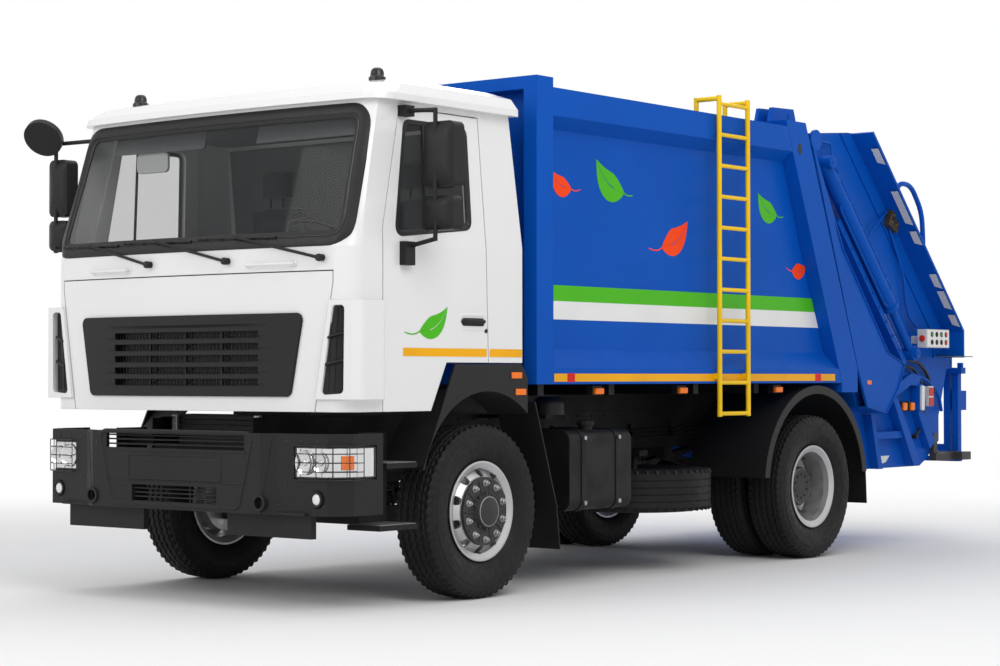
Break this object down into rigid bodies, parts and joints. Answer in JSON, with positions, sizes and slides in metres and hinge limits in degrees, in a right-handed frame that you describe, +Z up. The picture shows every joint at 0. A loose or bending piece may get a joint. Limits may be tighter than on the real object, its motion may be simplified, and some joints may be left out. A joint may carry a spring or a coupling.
{
  "type": "garbage truck",
  "caption": "Two-axle rear-loading garbage truck with a white cab, blue compactor body, side ladder, lifting tailgate, packer and bin lifter.",
  "frame": {"origin": "on the ground, in the middle of the truck's outer box", "axes": "front faces -Y, the truck's left side is +X, +Z is up"},
  "size_m": [3.1323, 7.944, 3.282],
  "materials": {
    "white_paint": "gloss",
    "blue_paint": "gloss",
    "yellow_paint": "gloss",
    "frame_black": "satin",
    "black_plastic": "matte",
    "rim_silver": "satin",
    "tyre_rubber": "matte",
    "tinted_glass": "gloss",
    "lamp_lens": "gloss",
    "amber_lens": "gloss",
    "grey_casting": "rough",
    "seat_cloth": "matte",
    "bright_steel": "satin",
    "box_grey": "satin"
  },
  "bodies": {
    "chassis": {"frame_rails": "frame_black", "engine": "grey_casting", "radiator": "grey_casting", "front_axle": "frame_black", "rear_axle": "frame_black", "leaf_springs": "frame_black", "fuel_tank": "frame_black", "air_cleaner": "frame_black", "battery_box": "frame_black", "air_tanks": "frame_black", "silencer": "grey_casting", "spare_wheel": "tyre_rubber", "front_bumper": "black_plastic", "front_lamps": "lamp_lens", "cab_steps": "frame_black", "mudguards": "black_plastic", "container_shell": "blue_paint", "container_frame": "blue_paint", "subframe": "frame_black", "rear_frame": "blue_paint", "ladder": "yellow_paint"},
    "left_knuckle": {"left_knuckle": "frame_black"},
    "right_knuckle": {"right_knuckle": "frame_black"},
    "tie_rod": {"tie_rod": "frame_black"},
    "front_left_wheel": {"front_left_tyre": "tyre_rubber", "front_left_rim": "rim_silver"},
    "front_right_wheel": {"front_right_tyre": "tyre_rubber", "front_right_rim": "rim_silver"},
    "rear_left_wheels": {"rear_left_tyres": "tyre_rubber", "rear_left_rims": "rim_silver"},
    "rear_right_wheels": {"rear_right_tyres": "tyre_rubber", "rear_right_rims": "rim_silver"},
    "cab": {"cab_shell": "white_paint", "windscreen": "tinted_glass", "right_mirrors": "black_plastic", "wheel_arches": "black_plastic", "wipers": "black_plastic", "cab_interior": "seat_cloth", "roof_beacons": "black_plastic"},
    "left_door": {"left_door": "white_paint", "left_door_glass": "tinted_glass", "left_mirrors": "black_plastic"},
    "right_door": {"right_door": "white_paint", "right_door_glass": "tinted_glass"},
    "front_flap": {"front_flap": "white_paint", "grille": "black_plastic"},
    "steering_wheel": {"steering_wheel": "black_plastic"},
    "tailgate": {"tailgate_shell": "blue_paint", "hopper": "blue_paint", "tailgate_sides": "blue_paint", "slide_tubes": "blue_paint", "rear_step": "grey_casting", "control_box": "box_grey", "tail_lamps": "amber_lens"},
    "lift_tubes": {"lift_tubes": "blue_paint"},
    "lift_rods": {"lift_rods": "bright_steel"},
    "carriage": {"carriage": "blue_paint"},
    "packer_blade": {"packer_blade": "blue_paint"},
    "bin_lifter": {"bin_lifter": "blue_paint"},
    "ejector": {"ejector_plate": "blue_paint"}
  },
  "joints": [
    {"name": "steer", "type": "hinge", "parent": "chassis", "child": "left_knuckle", "pos_m": [0.86, -2.58, 0.518], "axis": [0, 0, 1], "range_deg": [-36, 36]},
    {"name": "steer_right", "type": "hinge", "parent": "chassis", "child": "right_knuckle", "pos_m": [-0.86, -2.58, 0.518], "axis": [0, 0, 1], "range_deg": [-36, 36]},
    {"name": "tie_rod_pivot", "type": "hinge", "parent": "left_knuckle", "child": "tie_rod", "pos_m": [0.86, -2.38, 0.394], "axis": [0, 0, 1], "range_deg": [-36, 36]},
    {"name": "steering_wheel_turn", "type": "hinge", "parent": "cab", "child": "steering_wheel", "pos_m": [0.6, -3.33, 2.096], "axis": [0, 0.534, 0.8455], "range_deg": [-540, 540]},
    {"name": "front_left_spin", "type": "hinge", "parent": "left_knuckle", "child": "front_left_wheel", "pos_m": [1.076, -2.58, 0.518], "axis": [1, 0, 0], "continuous": true},
    {"name": "front_right_spin", "type": "hinge", "parent": "right_knuckle", "child": "front_right_wheel", "pos_m": [-1.076, -2.58, 0.518], "axis": [1, 0, 0], "continuous": true},
    {"name": "rear_left_spin", "type": "hinge", "parent": "chassis", "child": "rear_left_wheels", "pos_m": [0.9175, 1.24, 0.518], "axis": [1, 0, 0], "continuous": true},
    {"name": "rear_right_spin", "type": "hinge", "parent": "chassis", "child": "rear_right_wheels", "pos_m": [-0.9175, 1.24, 0.518], "axis": [1, 0, 0], "continuous": true},
    {"name": "cab_tilt", "type": "hinge", "parent": "chassis", "child": "cab", "pos_m": [0, -3.7, 1.1], "axis": [1, 0, 0], "range_deg": [0, 45]},
    {"name": "left_door_hinge", "type": "hinge", "parent": "cab", "child": "left_door", "pos_m": [1.246, -3.525, 1.9], "axis": [0, 0, -1], "range_deg": [0, 70]},
    {"name": "right_door_hinge", "type": "hinge", "parent": "cab", "child": "right_door", "pos_m": [-1.246, -3.525, 1.9], "axis": [0, 0, 1], "range_deg": [0, 70]},
    {"name": "front_flap_lift", "type": "hinge", "parent": "cab", "child": "front_flap", "pos_m": [0, -3.873, 1.909], "axis": [-1, 0, 0], "range_deg": [0, 75]},
    {"name": "tailgate_lift", "type": "hinge", "parent": "chassis", "child": "tailgate", "pos_m": [0, 1.2, 3.208], "axis": [1, 0, 0], "range_deg": [0, 65]},
    {"name": "lift_tube_swing", "type": "hinge", "parent": "chassis", "child": "lift_tubes", "pos_m": [0, 1.02, 2.96], "axis": [1, 0, 0], "range_deg": [0, 66]},
    {"name": "lift_rod_extend", "type": "slide", "parent": "lift_tubes", "child": "lift_rods", "axis": [0, 0.5578, -0.83], "range_m": [0, 0.5]},
    {"name": "carriage_slide", "type": "slide", "parent": "tailgate", "child": "carriage", "axis": [0, -0.6947, 0.7193], "range_m": [0, 0.4]},
    {"name": "packer_swing", "type": "hinge", "parent": "carriage", "child": "packer_blade", "pos_m": [0, 2.90599, 1.43166], "axis": [1, 0, 0], "range_deg": [0, 80]},
    {"name": "bin_lift", "type": "hinge", "parent": "tailgate", "child": "bin_lifter", "pos_m": [0, 3.68, 1.43], "axis": [1, 0, 0], "range_deg": [0, 110]},
    {"name": "eject_slide", "type": "slide", "parent": "chassis", "child": "ejector", "axis": [0, 1, 0], "range_m": [0, 2.4]}
  ],
  "couplings": [
    {"joint": "steer_right", "follows": "steer", "ratio": 1},
    {"joint": "tie_rod_pivot", "follows": "steer", "ratio": -1},
    {"joint": "steering_wheel_turn", "follows": "steer", "ratio": 15},
    {"joint": "lift_tube_swing", "follows": "tailgate_lift", "ratio": 0.985},
    {"joint": "lift_rod_extend", "follows": "tailgate_lift", "m_per_rad": 0.3}
  ]
}
